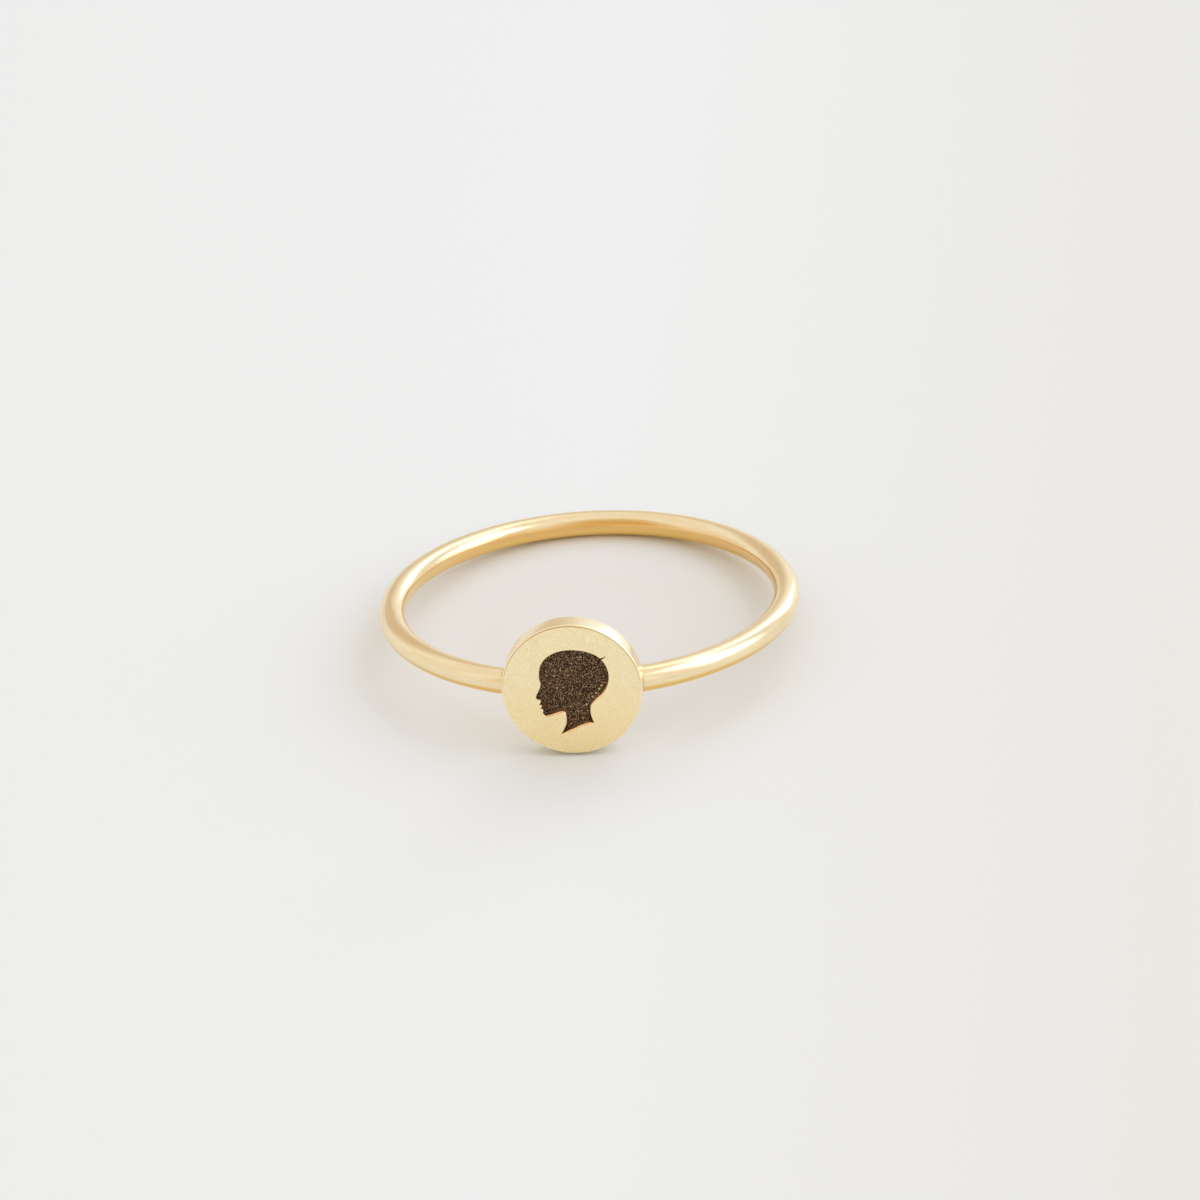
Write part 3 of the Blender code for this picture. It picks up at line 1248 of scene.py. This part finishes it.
@dataclass(frozen=True)
class PaleFloor:
    """A pale floor with a slight gloss, with painted shade: darker and warmer to the right, and a
    painted shadow inside the ring.
    """

    side: float = 3.0
    colour: Colour = (0.849, 0.882, 0.898, 1)
    right_shade_colour: Colour = (0.798, 0.815, 0.794, 1)
    painted_inner_colour: Colour = (0.800, 0.790, 0.765, 1)
    right_shade_reach: Span = (0.0, 26 * MM)
    painted_inner_reach: Span = (11 * MM, 5 * MM)
    roughness: float = 0.35
    gloss: float = 0.1

    def build(self) -> None:
        """Lay the floor at the height that the ring rests on."""
        reach = self.side / 2
        mesh = bpy.data.meshes.new("floor")
        corners = [(x * reach, y * reach, 0) for x, y in ((-1, -1), (1, -1), (1, 1), (-1, 1))]
        mesh.from_pydata(corners, [], [(0, 1, 2, 3)])
        nodes = Nodes("pale_floor")
        solid = nodes.place("Object")
        # Painted shade towards the right, and a painted shadow of the ring inside it
        right = nodes.clip(nodes.part(solid, "X"), *self.right_shade_reach)
        inside = nodes.clip(nodes.length(solid), *self.painted_inner_reach)
        shade = nodes.tint(right, self.colour, self.right_shade_colour)
        dressing = {
            "Base Color": nodes.tint(inside, shade, self.painted_inner_colour),
            "Roughness": self.roughness,
            "Specular IOR Level": self.gloss,
        }
        mesh.materials.append(nodes.dress(dressing))
        show("floor", mesh)


@dataclass(frozen=True)
class PhotoCamera:
    """The camera, by its place in the ring's own frame and where the ring's middle shows."""

    pose: RestPose
    frame_width: int = 1200
    sensor: float = 36.0
    focal_pixels: float = 5000.0
    distance: float = 234.293 * MM
    azimuth: float = 6.1618
    elevation: float = 23.9969
    roll: float = -3.8063
    middle_across: float = 589.326
    middle_down: float = 600.651
    nearest: float = 0.02
    farthest: float = 20.0

    @property
    def away(self) -> Array:
        """Unit direction from the ring's middle to the camera."""
        return direction(*np.radians((self.azimuth, self.elevation)))

    def axes(self) -> Array:
        """The camera's right, down and forward directions in the ring's own frame.

        The camera first looks straight at the ring's middle with its right level, then rolls,
        and then makes the shortest turn that shows the middle at its place in the frame.

        Returns:
            Three rows, one for each direction.
        """
        roll = math.radians(self.roll)
        back = self.away
        right = np.cross(-back, (0, 0, 1))
        right = right / np.linalg.norm(right)
        level = np.stack((right, np.cross(-back, right), -back))
        cosine, sine = math.cos(roll), math.sin(roll)
        rolled = np.array(((cosine, -sine, 0), (sine, cosine, 0), (0, 0, 1))) @ level
        centre = self.frame_width / 2
        aim = np.array((self.middle_across - centre, self.middle_down - centre, self.focal_pixels))
        aim = aim / np.linalg.norm(aim)
        across, down, ahead = aim
        share = 1 / (1 + ahead)
        turn = np.array(
            (
                (1 - across * across * share, -across * down * share, across),
                (-across * down * share, 1 - down * down * share, down),
                (-across, -down, ahead),
            )
        )
        return turn @ rolled

    def build(self) -> None:
        """Make the camera, and make it the scene's own."""
        right, down, ahead = self.axes()
        stand = np.eye(4)
        stand[:3, 0] = right
        stand[:3, 1] = -down
        stand[:3, 2] = -ahead
        stand[:3, 3] = self.distance * self.away
        lens = bpy.data.cameras.new("camera")
        lens.sensor_width = self.sensor
        lens.lens = self.focal_pixels / self.frame_width * self.sensor
        lens.clip_start = self.nearest
        lens.clip_end = self.farthest
        camera = show("camera", lens)
        camera.matrix_world = self.pose.matrix() @ Matrix(stand.tolist())
        bpy.context.scene.camera = camera


@dataclass
class Studio:
    """The pale floor, the soft light all round, and the camera."""

    pose: RestPose
    sky: Colour = (0.990, 0.940, 0.880, 1)
    sky_strength: float = 0.89
    lights: tuple[Softbox, ...] = (
        Softbox("right_softbox", 89, 35, 0.8, 0.64, 0.82, 1.50, (0.66, 0.74, 0.96)),
        Softbox("back_softbox", 149, 21, 0.8, 0.34, 0.54, 1.55, (0.65, 0.74, 0.96)),
        Softbox("upper_softbox", 150, 50, 0.8, 0.42, 0.30, 1.0, (0.92, 0.90, 0.92)),
    )
    screens: tuple[DimScreen, ...] = (
        DimScreen("front_screen", (-72, 42), (8, 80), (0.72, 0.52, 0.25, 1)),
        DimScreen("back_screen", (165, 250), (0, 48), (0.68, 0.57, 0.46, 1)),
        DimScreen("gap_screen", (112, 140), (16, 52), (0.76, 0.80, 0.84, 1)),
    )

    def build(self) -> None:
        """Light the scene and set the camera."""
        scene = bpy.context.scene
        scene.view_settings.view_transform = "Standard"
        world = bpy.data.worlds.new("soft_room")
        world.use_nodes = True
        background = world.node_tree.nodes["Background"]
        background.inputs["Color"].default_value = self.sky
        background.inputs["Strength"].default_value = self.sky_strength
        scene.world = world
        PaleFloor().build()
        for part in self.lights + self.screens:
            part.build()
        PhotoCamera(self.pose).build()


def main() -> None:
    """Build the ring's pieces in order, then the studio round them."""
    logging.basicConfig(level=logging.INFO, format="%(name)s: %(message)s")
    sizes = RingSizes()
    pose = RestPose(sizes)
    for part in (WireBand(sizes, pose), DiscPlate(sizes, pose, SunkHead())):
        piece = part.build()
        log.info("%s: %d faces", piece.name, len(piece.data.polygons))
    Studio(pose).build()


if __name__ == "__main__":
    main()
